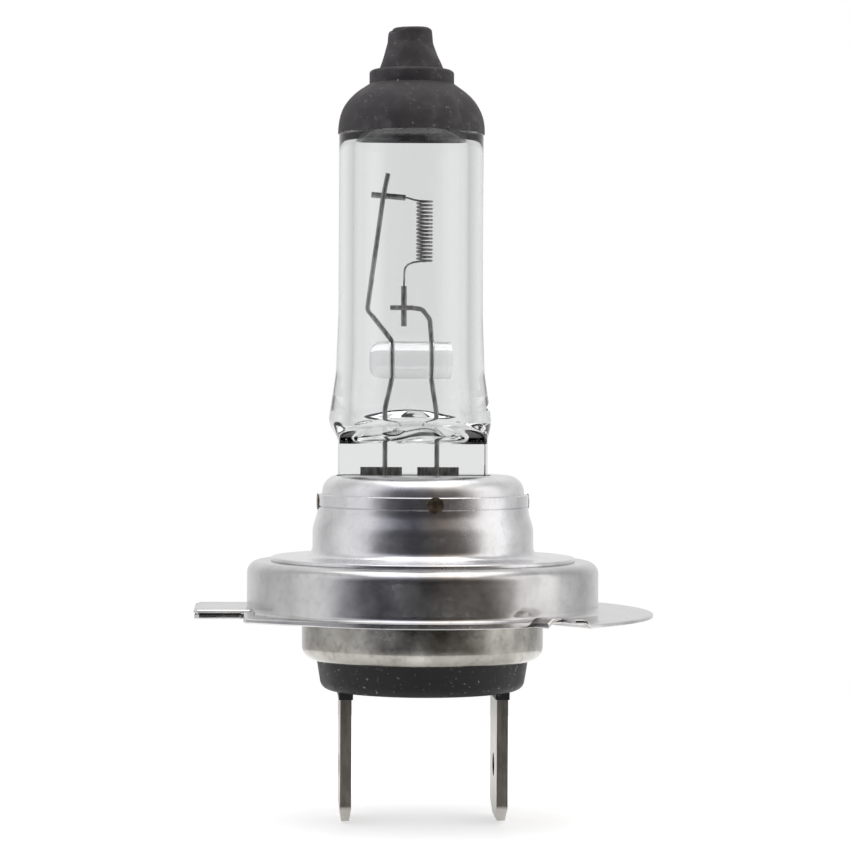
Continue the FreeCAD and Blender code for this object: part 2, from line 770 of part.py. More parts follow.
def make_sleeve():
    body = new_body("sleeve_body")
    disc_top = ring_top + sleeve_sheet
    inner = sleeve_radius - sleeve_sheet
    low_inner = sleeve_low_radius - sleeve_sheet
    groove_half = sleeve_groove_depth
    revolve(body, "sleeve_wall", [
        (inner, sleeve_top),
        (sleeve_radius, sleeve_top),
        (sleeve_radius, sleeve_groove_level + groove_half),
        (sleeve_radius - sleeve_groove_depth, sleeve_groove_level),
        (sleeve_radius, sleeve_groove_level - groove_half),
        (sleeve_radius, sleeve_taper_top),
        (sleeve_low_radius, sleeve_taper_bottom),
        (sleeve_low_radius, disc_top, sleeve_flare),
        (disc_radius, disc_top),
        (disc_radius, ring_top),
        (low_inner, ring_top, sleeve_flare + sleeve_sheet),
        (low_inner, sleeve_taper_bottom),
        (inner, sleeve_taper_top),
    ])
    return finish_node(body, "focus_sleeve")


def make_weld_spots():
    """Small laser welds round the sleeve, as thin caps that stand on its wall."""
    spots = []
    for i in range(WELD_COUNT):
        name = f"weld_{i + 1}"
        spot = DOC.addObject("Part::Cylinder", name)
        bind(spot, "Radius", weld_diameter / 2)
        bind(spot, "Height", sleeve_radius + weld_height)
        turn = FreeCAD.Rotation(FreeCAD.Vector(0, 0, 1), 360 / WELD_COUNT * i + WELD_TURN)
        lie = FreeCAD.Rotation(FreeCAD.Vector(0, 1, 0), 90)
        spot.Placement.Rotation = turn.multiply(lie)
        shift(spot, z=weld_level)
        spots.append(spot)
    core = cylinder("weld_core", sleeve_radius, sleeve_top * 2, (0, 0, 0))
    return finish_node(cut(fuse(spots, "weld_bars"), core, "weld_caps"), "sleeve_weld_spots")


make_sleeve()
make_weld_spots()


# ---------------------------------------------------------------- prefocus ring
def turned(thing, angle):
    thing.Placement.Rotation = FreeCAD.Rotation(FreeCAD.Vector(0, 0, 1), angle)
    return thing


def make_boss(name, angle):
    """A raised reference boss on the flange, its flat top in the reference plane."""
    body = new_body(name)
    sketch = sketch_on(body, "XZ_Plane", name + "_end")
    bind(sketch, "AttachmentOffset.Base.z", ring_radius)
    half_foot = boss_foot_width / 2
    half_top = boss_top_width / 2
    bottom = flange_top - sheet_steel
    draw(sketch, [(-half_foot, bottom), (half_foot, bottom), (half_top, 0), (-half_top, 0)])
    pad(body, name + "_pad", sketch, boss_reach - ring_radius)
    return turned(body, angle + 90)


def make_dimple(name, angle):
    """The hollow pressed into the ring's wall beside a boss."""
    dimple = DOC.addObject("Part::Ellipsoid", name)
    bind(dimple, "Radius1", dimple_height / 2)
    bind(dimple, "Radius2", dimple_depth * 2)
    bind(dimple, "Radius3", dimple_length / 2)
    direction = math.radians(angle)
    away = ring_radius + dimple_depth
    turned(dimple, angle)
    return shift(dimple, away * math.cos(direction), away * math.sin(direction), dimple_level)


def make_lobe():
    """The wide part of the flange on +X, flattened front and back."""
    bottom = flange_top - sheet_steel
    disc = cylinder("lobe_disc", lobe_radius, sheet_steel, (0, 0, bottom))
    frame = box("lobe_frame", (lobe_radius - lobe_start, flange_half_depth * 2, sheet_steel),
                (lobe_start, -flange_half_depth, bottom))
    plate = DOC.addObject("Part::MultiCommon", "lobe")
    plate.Shapes = [disc, frame]
    return plate


def make_ears():
    """The flange round the lug: a straight edge, then both sides run in to meet the rim."""
    body = new_body("ears_body")
    plate = sketch_on(body, "XY_Plane", "ears_outline")
    bind(plate, "AttachmentOffset.Base.z", flange_top - sheet_steel)
    corner = math.hypot(number(ear_left), number(ear_half_depth))
    rim = number(ring_radius + rim_reach)
    meeting = (math.atan2(number(ear_half_depth), number(ear_left)) + math.acos(rim / corner))
    across, along = rim * math.cos(meeting), rim * math.sin(meeting)
    draw(plate, [(-ear_left, -ear_half_depth), (-across, -along), (-across, along),
                 (-ear_left, ear_half_depth)])
    pad(body, "ears_plate", plate, sheet_steel)
    return body


def make_webs():
    """Two slopes that carry the sheet from the lug's top down to the flange."""
    body = new_body("webs_body")
    slopes = sketch_on(body, "YZ_Plane", "web_ends")
    bottom = flange_top - sheet_steel
    for way in (1, -1):
        near = (lug_half_width - hem_inset * 2) * way
        draw(slopes, [(near, bottom), (near, -lug_edge / 2),
                      ((lug_half_width + web_width) * way, flange_top),
                      ((lug_half_width + web_width) * way, bottom)])
    pad(body, "web_pads", slopes, ear_overhang + sheet_steel * 2)
    shift(body, x=-ear_left)
    return body


def make_ring():
    hat = new_body("hat_body")
    rim = ring_radius + rim_reach
    inner = ring_radius - sheet_steel
    bottom = flange_top - sheet_steel
    revolve(hat, "hat_wall", [
        (ring_hole, ring_top),
        (ring_radius, ring_top, ring_round),
        (ring_radius, flange_top, foot_round),
        (rim, flange_top),
        (rim, bottom),
        (inner, bottom, foot_round + sheet_steel),
        (inner, ring_top - sheet_steel, ring_round - sheet_steel),
        (ring_hole, ring_top - sheet_steel),
    ])
    root = ring_radius - sheet_steel * 2
    lug = new_body("lug_body")
    end = sketch_on(lug, "XZ_Plane", "lug_end")
    draw(end, [(-root, flange_top), (-lug_reach, flange_top),
               (-lug_reach, 0), (-root, 0)])
    pad(lug, "lug_plate", end, lug_half_width * 2, both_ways=True)
    hem = sketch_on(lug, "XZ_Plane", "lug_hem_end")
    draw(hem, [(-root, bottom), (-lug_reach, bottom, lug_end_round),
               (-lug_reach, flange_top), (-root, flange_top)])
    pad(lug, "lug_hem", hem, (lug_half_width - hem_inset) * 2, both_ways=True)
    edges = sketch_on(lug, "YZ_Plane", "lug_edges")
    for way in (1, -1):
        side = lug_half_width * way
        draw(edges, [(side - lug_edge * way, 0), (side + lug_edge * way, 0),
                     (side + lug_edge * way, -lug_edge), (side, -lug_edge)])
    pocket_through(lug, "lug_edge_cut", edges)
    flats = fuse([make_lobe(), make_ears(), make_webs(), lug], "flange_flats")
    clear_wall = cylinder("inside_of_wall", ring_radius - sheet_steel / 2, ring_top * 2,
                          (0, 0, -ring_top))
    solid = fuse([hat, cut(flats, clear_wall, "flange_outside"),
                  make_boss("boss_front", -number(boss_angle)),
                  make_boss("boss_back", number(boss_angle))], "ring_solid")
    dimples = fuse([make_dimple("dimple_front", -number(dimple_angle)),
                    make_dimple("dimple_back", number(dimple_angle))], "dimples")
    return finish_node(cut(solid, dimples, "dimpled_ring"), "prefocus_ring")


make_ring()


# ---------------------------------------------------------------- base shell and insulator
def make_shell():
    body = new_body("shell_body")
    inner = shell_radius - sheet_steel
    mouth = insulator_radius + snug
    seat = ring_top - sheet_steel
    revolve(body, "shell_wall", [
        (shell_flange, seat),
        (shell_flange, seat - sheet_steel),
        (shell_radius, seat - sheet_steel, foot_round),
        (shell_radius, shell_bottom, shell_round),
        (mouth, shell_bottom),
        (mouth, shell_bottom + sheet_steel),
        (inner, shell_bottom + sheet_steel, shell_round - sheet_steel),
        (inner, seat, foot_round + sheet_steel),
    ])
    return finish_node(body, "base_shell")


def make_insulator():
    body = new_body("insulator_body")
    wide = shell_radius - sheet_steel - snug
    revolve(body, "insulator_block", [
        (0, insulator_bottom),
        (insulator_foot_radius, insulator_bottom, insulator_round),
        (insulator_radius, shell_bottom),
        (insulator_radius, insulator_slope_foot),
        (wide, insulator_slope_top),
        (wide, insulator_top),
        (0, insulator_top),
    ])
    half_t = blade_thickness / 2
    half_w = blade_width / 2
    wall = root_collar_wall
    collars = sketch_on(body, "XY_Plane", "root_collars")
    bind(collars, "AttachmentOffset.Base.z", insulator_bottom - root_collar_height)
    for way in (1, -1):
        near = (blade_spread - half_t - wall) * way
        far = (blade_spread + half_t + wall) * way
        draw(collars, rectangle(near, far, -(half_w + wall), half_w + wall))
    pad(body, "root_collar_pad", collars, root_collar_height + root_collar_depth)
    slots = sketch_on(body, "XY_Plane", "blade_slots")
    bind(slots, "AttachmentOffset.Base.z", blade_shoulder)
    tags = sketch_on(body, "XY_Plane", "tag_slots")
    bind(tags, "AttachmentOffset.Base.z", blade_shoulder)
    half_tag = blade_tag_width / 2 + snug
    for way in (1, -1):
        near = (blade_spread - half_t - snug) * way
        far = (blade_spread + half_t + snug) * way
        draw(slots, rectangle(near, far, -(half_w + snug), half_w + snug))
        draw(tags, rectangle(near, far, -half_tag, half_tag))
    pocket(body, "blade_slots_cut", slots, blade_shoulder - insulator_bottom + CUT_MARGIN)
    pocket(body, "tag_slots_cut", tags, insulator_top - blade_shoulder + CUT_MARGIN, flip=True)
    return finish_node(body, "insulator_base")


def make_blade(name, side):
    """A flat contact blade with a latch hole, a bevelled tip and a narrow weld tag."""
    body = new_body(name + "_body")
    half_w = blade_width / 2
    half_tag = blade_tag_width / 2
    tip_half = half_w - blade_chamfer
    bevel_top = blade_tip + blade_chamfer
    face = sketch_on(body, "YZ_Plane", name + "_face")
    draw(face, [
        (-half_tag, blade_tag_top), (-half_tag, blade_shoulder), (-half_w, blade_shoulder),
        (-half_w, bevel_top), (-tip_half, blade_tip), (tip_half, blade_tip),
        (half_w, bevel_top), (half_w, blade_shoulder), (half_tag, blade_shoulder),
        (half_tag, blade_tag_top),
    ])
    add_circle(face, 0, blade_tip + blade_hole_up, blade_hole / 2)
    pad(body, name + "_plate", face, blade_thickness, both_ways=True)
    half_t = blade_thickness / 2
    beyond = half_t + CUT_MARGIN
    below = blade_tip - CUT_MARGIN
    bevels = sketch_on(body, "XZ_Plane", name + "_bevels")
    for way in (1, -1):
        draw(bevels, [(half_t * way, bevel_top), ((half_t - blade_coin) * way, blade_tip),
                      ((half_t - blade_coin) * way, below), (beyond * way, below),
                      (beyond * way, bevel_top)])
    pocket_through(body, name + "_bevel_cut", bevels)
    shift(body, x=blade_spread * side)
    return finish_node(body, name)


make_shell()
make_insulator()
make_blade("contact_blade_left", -1)
make_blade("contact_blade_right", 1)


# ---------------------------------------------------------------- check and export
DOC.recompute()
for thing in DOC.Objects:
    if "Invalid" in thing.State or "Error" in thing.State:
        raise RuntimeError(f"{thing.Name} ({thing.Label}) failed: {thing.State}")
for node in NODES:
    shape = node.Shape
    if shape.isNull() or not shape.isValid() or not shape.Solids:
        raise RuntimeError(f"{node.Label} has no valid solid")
os.makedirs("parts", exist_ok=True)
for node in NODES:
    node.Shape.exportStep(f"parts/{node.Label}.step")
    print(f"{node.Label:22s} {len(node.Shape.Solids)} solid(s) {node.Shape.Volume:10.3f} mm3")
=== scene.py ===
"""Halogen headlight bulb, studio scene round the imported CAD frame. Metres, Z up, as in the CAD."""
import bpy
import json
import math
from mathutils import Matrix, Vector
from mathutils.noise import noise as noise_at


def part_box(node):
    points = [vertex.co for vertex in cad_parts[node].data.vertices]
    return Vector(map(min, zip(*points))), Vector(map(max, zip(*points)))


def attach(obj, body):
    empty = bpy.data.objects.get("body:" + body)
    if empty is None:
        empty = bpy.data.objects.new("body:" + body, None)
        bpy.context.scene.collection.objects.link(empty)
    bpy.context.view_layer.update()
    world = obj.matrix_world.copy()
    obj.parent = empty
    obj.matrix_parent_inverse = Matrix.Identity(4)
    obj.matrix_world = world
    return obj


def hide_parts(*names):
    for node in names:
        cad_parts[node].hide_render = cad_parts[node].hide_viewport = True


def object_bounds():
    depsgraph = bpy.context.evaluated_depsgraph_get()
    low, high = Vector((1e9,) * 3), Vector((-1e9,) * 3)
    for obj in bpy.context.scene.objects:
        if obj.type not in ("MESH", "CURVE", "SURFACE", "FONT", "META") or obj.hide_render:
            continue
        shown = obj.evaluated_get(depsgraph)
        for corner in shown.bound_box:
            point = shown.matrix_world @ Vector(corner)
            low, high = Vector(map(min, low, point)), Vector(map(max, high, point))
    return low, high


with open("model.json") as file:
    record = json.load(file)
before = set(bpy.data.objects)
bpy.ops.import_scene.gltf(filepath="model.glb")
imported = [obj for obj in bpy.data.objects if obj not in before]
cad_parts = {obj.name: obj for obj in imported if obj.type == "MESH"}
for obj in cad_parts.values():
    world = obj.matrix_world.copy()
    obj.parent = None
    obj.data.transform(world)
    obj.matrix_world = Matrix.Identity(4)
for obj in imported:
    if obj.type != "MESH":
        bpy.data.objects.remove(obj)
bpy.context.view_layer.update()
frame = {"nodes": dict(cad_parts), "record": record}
MM = 0.001
NODES = frame["nodes"]


# ---------------------------------------------------------------- colour and node helpers
def colour(code):
    """An sRGB hex value as the linear colour that a shader socket takes."""
    parts = [int(code[i:i + 2], 16) / 255 for i in (1, 3, 5)]
    linear = [p / 12.92 if p <= 0.04045 else ((p + 0.055) / 1.055) ** 2.4 for p in parts]
    return (*linear, 1.0)


def grey(level):
    """A linear brightness as the colour of a ramp's stop."""
    return (level, level, level, 1.0)


def add_node(tree, kind, inputs=None, stops=(), out=0, **settings):
    """Add one node and give its output.

    An input is a value or another node's output, a setting is a property of the node, and
    the stops are a colour ramp's positions and colours.
    """
    node = tree.nodes.new(kind)
    for key, value in settings.items():
        setattr(node, key, value)
    for key, value in (inputs or {}).items():
        if isinstance(value, bpy.types.NodeSocket):
            tree.links.new(value, node.inputs[key])
        else:
            node.inputs[key].default_value = value
    while stops and len(node.color_ramp.elements) < len(stops):
        node.color_ramp.elements.new(0.5)
    for (position, shade), element in zip(stops, node.color_ramp.elements if stops else ()):
        element.position = position
        element.color = shade
    return node.outputs[out] if node.outputs else node


def new_material(name):
    """An empty material with its tree, its shader's sockets and its Object coordinates."""
    material = bpy.data.materials.new(name)
    material.use_nodes = True
    tree = material.node_tree
    shader = tree.nodes["Principled BSDF"].inputs
    place = add_node(tree, "ShaderNodeTexCoord", out="Object")
    return material, tree, shader, place


# ---------------------------------------------------------------- materials
# Names of the nodes used most. A noise's scale is one over the size of its lumps.
NOISE = "ShaderNodeTexNoise"
STRETCH = "ShaderNodeMapping"
RANGE = "ShaderNodeMapRange"
RAMP = "ShaderNodeValToRGB"
MIX = "ShaderNodeMix"
MATHS = "ShaderNodeMath"
BUMP = "ShaderNodeBump"
WHOLE = {"From Min": 0.3, "From Max": 0.7}             # where most of a noise's values lie


def drawn_steel(name, light, dark, roughness, soil="#6A6256", soil_share=0.16):
    """Bright stainless strip, deep drawn: satin, with draw lines round it and handled patches."""
    material, tree, shader, place = new_material(name)
    clouds = add_node(tree, NOISE, {"Vector": place, "Scale": 1 / (3.0 * MM), "Detail": 4.0})
    draw_way = add_node(tree, STRETCH, {"Vector": place, "Scale": (1 / (6.0 * MM),) * 2
                                        + (40 / (6.0 * MM),)})
    lines = add_node(tree, NOISE, {"Vector": draw_way, "Scale": 1.0, "Detail": 2.0})
    speckle = add_node(tree, NOISE, {"Vector": place, "Scale": 1 / (0.3 * MM), "Detail": 2.0})
    base = add_node(tree, RAMP, {"Fac": clouds}, stops=((0.35, colour(dark)),
                                                        (0.65, colour(light))))
    patches = add_node(tree, NOISE, {"Vector": place, "Scale": 1 / (0.7 * MM), "Detail": 6.0,
                                     "Roughness": 0.6})
    stained = add_node(tree, RANGE, {"Value": patches, "From Min": 0.5, "From Max": 0.78,
                                     "To Min": 0.0, "To Max": soil_share})
    soiled = add_node(tree, MIX, {0: stained, 6: base, 7: colour(soil)}, out=2,
                      data_type="RGBA")
    tree.links.new(soiled, shader["Base Color"])
    shader["Metallic"].default_value = 1.0
    satin = add_node(tree, RANGE, {"Value": clouds, **WHOLE, "To Min": roughness - 0.05,
                                   "To Max": roughness + 0.07})
    grain = add_node(tree, RANGE, {"Value": speckle, **WHOLE, "To Min": -0.015, "To Max": 0.02})
    gloss = add_node(tree, MATHS, {0: satin, 1: grain}, operation="ADD")
    tree.links.new(gloss, shader["Roughness"])
    soft_lines = add_node(tree, MATHS, {0: lines, 1: 0.6}, operation="MULTIPLY")
    height = add_node(tree, MATHS, {0: soft_lines, 1: speckle}, operation="ADD")
    relief = add_node(tree, BUMP, {"Height": height, "Strength": 1.0, "Distance": 0.0007 * MM})
    tree.links.new(relief, shader["Normal"])
    return material


def quartz(name):
    """Fused quartz tube, drawn and fire polished: clear, with the lowest index of any glass."""
    material, tree, shader, place = new_material(name)
    shader["Base Color"].default_value = colour("#F7F8F8")
    shader["Transmission Weight"].default_value = 1.0
    shader["IOR"].default_value = 1.458
    haze = add_node(tree, NOISE, {"Vector": place, "Scale": 1 / (4.0 * MM), "Detail": 3.0})
    polish = add_node(tree, RANGE, {"Value": haze, **WHOLE, "To Min": 0.0, "To Max": 0.012})
    tree.links.new(polish, shader["Roughness"])
    draw_way = add_node(tree, STRETCH, {"Vector": place, "Scale": (1 / (5.0 * MM),) * 2
                                        + (0.3 / (5.0 * MM),)})
    waves = add_node(tree, NOISE, {"Vector": draw_way, "Scale": 1.0, "Detail": 1.0})
    relief = add_node(tree, BUMP, {"Height": waves, "Strength": 1.0, "Distance": 0.02 * MM})
    tree.links.new(relief, shader["Normal"])
    return material


def heatproof_paint(name):
    """Matte black silicate paint, dipped and baked: dull, a little lumpy, with pale dust."""
    material, tree, shader, place = new_material(name)
    lumps = add_node(tree, NOISE, {"Vector": place, "Scale": 1 / (1.6 * MM), "Detail": 5.0,
                                   "Roughness": 0.6})
    grit = add_node(tree, NOISE, {"Vector": place, "Scale": 1 / (0.16 * MM), "Detail": 2.0})
    base = add_node(tree, RAMP, {"Fac": lumps}, stops=(
        (0.3, colour("#3C393B")), (0.5, colour("#484547")), (0.7, colour("#625E60"))))
    motes = add_node(tree, NOISE, {"Vector": place, "Scale": 1 / (0.4 * MM), "Detail": 4.0,
                                   "Roughness": 0.7})
    dust = add_node(tree, RANGE, {"Value": motes, "From Min": 0.63, "From Max": 0.72,
                                  "To Min": 0.0, "To Max": 0.75})
    crumbs = add_node(tree, NOISE, {"Vector": place, "Scale": 1 / (0.2 * MM), "Detail": 2.0,
                                    "Roughness": 0.6})
    chalk = add_node(tree, RANGE, {"Value": crumbs, "From Min": 0.72, "From Max": 0.76,
                                   "To Min": 0.0, "To Max": 0.9})
    dusty = add_node(tree, MIX, {0: dust, 6: base, 7: colour("#8A8784")}, out=2,
                     data_type="RGBA")
    chalky = add_node(tree, MIX, {0: chalk, 6: dusty, 7: colour("#D8D6D2")}, out=2,
                      data_type="RGBA")
    tree.links.new(chalky, shader["Base Color"])
    dull = add_node(tree, RANGE, {"Value": lumps, **WHOLE, "To Min": 0.55, "To Max": 0.8})
    tree.links.new(dull, shader["Roughness"])
    shader["Specular IOR Level"].default_value = 0.35
    half_grit = add_node(tree, MATHS, {0: grit, 1: 0.5}, operation="MULTIPLY")
    height = add_node(tree, MATHS, {0: lumps, 1: half_grit}, operation="ADD")
    relief = add_node(tree, BUMP, {"Height": height, "Strength": 1.0, "Distance": 0.03 * MM})
    tree.links.new(relief, shader["Normal"])
    return material


def ceramic_base(name):
    """Charcoal moulded base, heat resistant: matte and dense, with pale specks on its rim."""
    material, tree, shader, place = new_material(name)
    body = add_node(tree, NOISE, {"Vector": place, "Scale": 1 / (2.2 * MM), "Detail": 5.0,
                                  "Roughness": 0.6})
    base = add_node(tree, RAMP, {"Fac": body}, stops=((0.3, colour("#0E0E10")),
                                                      (0.7, colour("#1B1B1E"))))
    chips = add_node(tree, NOISE, {"Vector": place, "Scale": 1 / (0.34 * MM), "Detail": 3.0,
                                   "Roughness": 0.7})
    specks = add_node(tree, RANGE, {"Value": chips, "From Min": 0.63, "From Max": 0.71,
                                    "To Min": 0.0, "To Max": 0.65})
    speckled = add_node(tree, MIX, {0: specks, 6: base, 7: colour("#9A968E")}, out=2,
                        data_type="RGBA")
    tree.links.new(speckled, shader["Base Color"])
    matte = add_node(tree, RANGE, {"Value": body, **WHOLE, "To Min": 0.45, "To Max": 0.66})
    tree.links.new(matte, shader["Roughness"])
    shader["Specular IOR Level"].default_value = 0.3
    pores = add_node(tree, NOISE, {"Vector": place, "Scale": 1 / (0.25 * MM), "Detail": 4.0})
    relief = add_node(tree, BUMP, {"Height": pores, "Strength": 1.0, "Distance": 0.012 * MM})
    tree.links.new(relief, shader["Normal"])
    return material


def refractory_wire(name, light, dark, roughness):
    """Drawn tungsten or molybdenum: grey, with die lines along it that catch the light."""
    material, tree, shader, place = new_material(name)
    drawn = add_node(tree, STRETCH, {"Vector": place, "Scale": (1 / (0.25 * MM),) * 2
                                     + (0.25 / (0.25 * MM),)})
    marks = add_node(tree, NOISE, {"Vector": drawn, "Scale": 1.0, "Detail": 3.0})
    tone = add_node(tree, RAMP, {"Fac": marks}, stops=((0.35, colour(dark)),
                                                       (0.65, colour(light))))
    tree.links.new(tone, shader["Base Color"])
    shader["Metallic"].default_value = 0.85            # an oxide skin dulls the bare metal
    satin = add_node(tree, RANGE, {"Value": marks, **WHOLE, "To Min": roughness - 0.08,
                                   "To Max": roughness + 0.1})
    tree.links.new(satin, shader["Roughness"])
    relief = add_node(tree, BUMP, {"Height": marks, "Strength": 1.0, "Distance": 0.004 * MM})
    tree.links.new(relief, shader["Normal"])
    return material


def weld_bead(name):
    """Laser weld in steel: a small bright pool with brown heat tint round it."""
    material, tree, shader, place = new_material(name)
    tint = add_node(tree, NOISE, {"Vector": place, "Scale": 1 / (0.5 * MM), "Detail": 3.0})
    tone = add_node(tree, RAMP, {"Fac": tint}, stops=((0.35, colour("#4C4438")),
                                                      (0.65, colour("#776C5C"))))
    tree.links.new(tone, shader["Base Color"])
    shader["Metallic"].default_value = 1.0
    satin = add_node(tree, RANGE, {"Value": tint, **WHOLE, "To Min": 0.3, "To Max": 0.5})
    tree.links.new(satin, shader["Roughness"])
    pool = add_node(tree, NOISE, {"Vector": place, "Scale": 1 / (0.2 * MM), "Detail": 2.0})
    relief = add_node(tree, BUMP, {"Height": pool, "Strength": 1.0, "Distance": 0.01 * MM})
    tree.links.new(relief, shader["Normal"])
    return material


def tinned_brass(name):
    """Tinned contact strip: bright coat on its faces, rubbed; duller metal where it was sheared."""
    material, tree, shader, place = new_material(name)
    facing = add_node(tree, "ShaderNodeTexCoord", out="Normal")
    across = add_node(tree, "ShaderNodeSeparateXYZ", {"Vector": facing}, out="Y")
    either_way = add_node(tree, MATHS, {0: across}, operation="ABSOLUTE")
    sheared = add_node(tree, RANGE, {"Value": either_way, "From Min": 0.55, "From Max": 0.85,
                                     "To Min": 0.0, "To Max": 1.0})
    plug_way = add_node(tree, STRETCH, {"Vector": place, "Scale": (1 / (0.5 * MM),) * 2
                                        + (0.12 / (0.5 * MM),)})
    rubs = add_node(tree, NOISE, {"Vector": plug_way, "Scale": 1.0, "Detail": 3.0})
    patches = add_node(tree, NOISE, {"Vector": place, "Scale": 1 / (1.8 * MM), "Detail": 4.0,
                                     "Roughness": 0.6})
    base = add_node(tree, RAMP, {"Fac": patches}, stops=((0.35, colour("#8F8A84")),
                                                         (0.65, colour("#C4C2BE"))))
    wear = add_node(tree, RANGE, {"Value": rubs, **WHOLE, "To Min": 0.0, "To Max": 0.4})
    rubbed = add_node(tree, MIX, {0: wear, 6: base, 7: colour("#5A544C")}, out=2,
                      data_type="RGBA")
    shear_way = add_node(tree, STRETCH, {"Vector": place, "Scale": (1 / (0.3 * MM),) * 2
                                         + (0.2 / (0.3 * MM),)})
    grain = add_node(tree, NOISE, {"Vector": shear_way, "Scale": 1.0, "Detail": 2.0})
    cut_edge = add_node(tree, RAMP, {"Fac": grain}, stops=((0.3, colour("#57544F")),
                                                           (0.7, colour("#6C6963"))))
    # Painted highlight: the sheared edges are painted near white at the blade tips, over the lowest
    # few tenths of a millimetre, and mixed into the edge colour below.
    level = add_node(tree, "ShaderNodeSeparateXYZ", {"Vector": place}, out="Z")
    painted_tip_highlight = add_node(tree, RANGE, {"Value": level, "From Min": -14.4 * MM,
                                    "From Max": -14.1 * MM, "To Min": 1.0, "To Max": 0.0})
    edge = add_node(tree, MIX, {0: painted_tip_highlight, 6: cut_edge, 7: colour("#D2D0CC")}, out=2,
                    data_type="RGBA")
    skin = add_node(tree, MIX, {0: sheared, 6: rubbed, 7: edge}, out=2, data_type="RGBA")
    tree.links.new(skin, shader["Base Color"])
    shader["Metallic"].default_value = 1.0
    satin = add_node(tree, RANGE, {"Value": patches, **WHOLE, "To Min": 0.24, "To Max": 0.42})
    tree.links.new(satin, shader["Roughness"])
    relief = add_node(tree, BUMP, {"Height": rubs, "Strength": 1.0, "Distance": 0.006 * MM})
    tree.links.new(relief, shader["Normal"])
    return material


MATERIALS = {
    "quartz_glass": quartz("fused_quartz"),
    "black_coating": heatproof_paint("baked_black_paint"),
    "tungsten": refractory_wire("tungsten_coil", "#C6C5C3", "#86858A", 0.5),
    "molybdenum": refractory_wire("molybdenum_wire", "#CFCFCD", "#8E8E8C", 0.5),
    "holder_steel": drawn_steel("burnished_holder_steel", "#F0F0F1", "#DEDDDF", 0.3),
    "spring_steel": drawn_steel("spring_strip", "#A9A8A6", "#8A8988", 0.34),
    "sleeve_steel": drawn_steel("drawn_sleeve_steel", "#EBEAEC", "#D9D8DA", 0.22),
    "weld_metal": weld_bead("laser_weld"),
    "ring_steel": drawn_steel("pressed_ring_steel", "#D6D5D5", "#C2C1C1", 0.2),
    "shell_steel": drawn_steel("drawn_shell_steel", "#B9B7B1", "#8F8C85", 0.2,
                               soil="#4E463A", soil_share=0.5),
    "insulator": ceramic_base("charcoal_base"),
    "tinned_blade": tinned_brass("tinned_contact_strip"),
}


def paint_cad_nodes():
    """Give each CAD node the material of its slot."""
    for part in frame["record"]["subparts"]:
        node = NODES[part["node"]]
        node.data.materials.clear()
        node.data.materials.append(MATERIALS[part["material_slot"]])


paint_cad_nodes()
SLOT_OF = {part["node"]: part["material_slot"] for part in frame["record"]["subparts"]}


# ---------------------------------------------------------------- shaping helpers
def mix(low, high, share):
    return low + (high - low) * share


def smooth(value, low, high):
    """0 below low, 1 above high and an S-curve between."""
    share = min(max((value - low) / (high - low), 0.0), 1.0)
    return share * share * (3 - 2 * share)


def soft_limit(value, limit, blend):
    """The smaller of a value and its limit, rounded where they meet."""
    gap = max(blend - abs(value - limit), 0.0) / blend
    return min(value, limit) - gap * gap * blend / 4


def rounded(corners, closed=True, arc_steps=6, run=0.5):
    """Points through corners (across, up, radius): arcs at the corners, long runs divided."""
    spots = [Vector(corner[:2]) for corner in corners]
    count = len(spots)
    points = []
    for i, corner in enumerate(corners):
        radius = corner[2] if len(corner) > 2 else 0.0
        if not radius or (not closed and i in (0, count - 1)):
            points.append(spots[i])
            continue
        before = (spots[i - 1] - spots[i]).normalized()
        after = (spots[(i + 1) % count] - spots[i]).normalized()
        half = before.angle(after) / 2
        centre = spots[i] + (before + after).normalized() * radius / math.sin(half)
        start = spots[i] + before * radius / math.tan(half) - centre
        end = spots[i] + after * radius / math.tan(half) - centre
        turn = start.angle_signed(end)
        for step in range(arc_steps + 1):
            points.append(centre + Matrix.Rotation(-turn * step / arc_steps, 2) @ start)
    divided = []
    for i, point in enumerate(points):
        divided.append(point)
        if i + 1 < len(points) or closed:
            after = points[(i + 1) % len(points)]
            parts = math.ceil((after - point).length / run)
            divided += [point.lerp(after, k / parts) for k in range(1, parts)]
    return [(p.x, p.y) for p in divided]


def select_all(piece):
    bpy.ops.object.select_all(action="DESELECT")
    piece.select_set(True)
    bpy.context.view_layer.objects.active = piece


def close_seams(piece, inside=False):
    """Merge the doubled seam and poles, and point every face outwards, or inwards."""
    select_all(piece)
    bpy.ops.object.mode_set(mode="EDIT")
    bpy.ops.mesh.select_all(action="SELECT")
    bpy.ops.mesh.remove_doubles(threshold=0.0005 * MM)
    bpy.ops.mesh.normals_make_consistent(inside=inside)
    bpy.ops.object.mode_set(mode="OBJECT")


def turned(name, profile, sides, middle=0.0, closed=True, reshape=None, inside=False):
    """Wrap a grid round an upright axis along a profile of (radius, height) points.

    reshape(radius, angle, height) may move each point and gives x, y, z in millimetres.
    """
    outline = profile + profile[:1] if closed else profile
    rows = len(outline) - 1
    bpy.ops.object.select_all(action="DESELECT")
    bpy.ops.mesh.primitive_grid_add(x_subdivisions=sides, y_subdivisions=rows, size=2)
    piece = bpy.context.object
    piece.name = name
    for vertex in piece.data.vertices:
        angle = round((vertex.co.x + 1) / 2 * sides) % sides * math.tau / sides
        radius, height = outline[round((vertex.co.y + 1) / 2 * rows)]
        if reshape:
            x, y, z = reshape(radius, angle, height)
        else:
            x, y, z = radius * math.cos(angle), radius * math.sin(angle), height
        vertex.co = Vector((middle + x, y, z)) * MM
    close_seams(piece, inside)
    return piece


def finish_piece(piece, node, angle=35, extra=()):
    """Shade, paint and mount a piece that stands for one CAD node, or for more."""
    select_all(piece)
    bpy.ops.object.shade_smooth_by_angle(angle=math.radians(angle))
    piece.data.materials.clear()
    piece.data.materials.append(MATERIALS[SLOT_OF[node]])
    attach(piece, "root")
    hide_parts(node, *extra)
    return piece


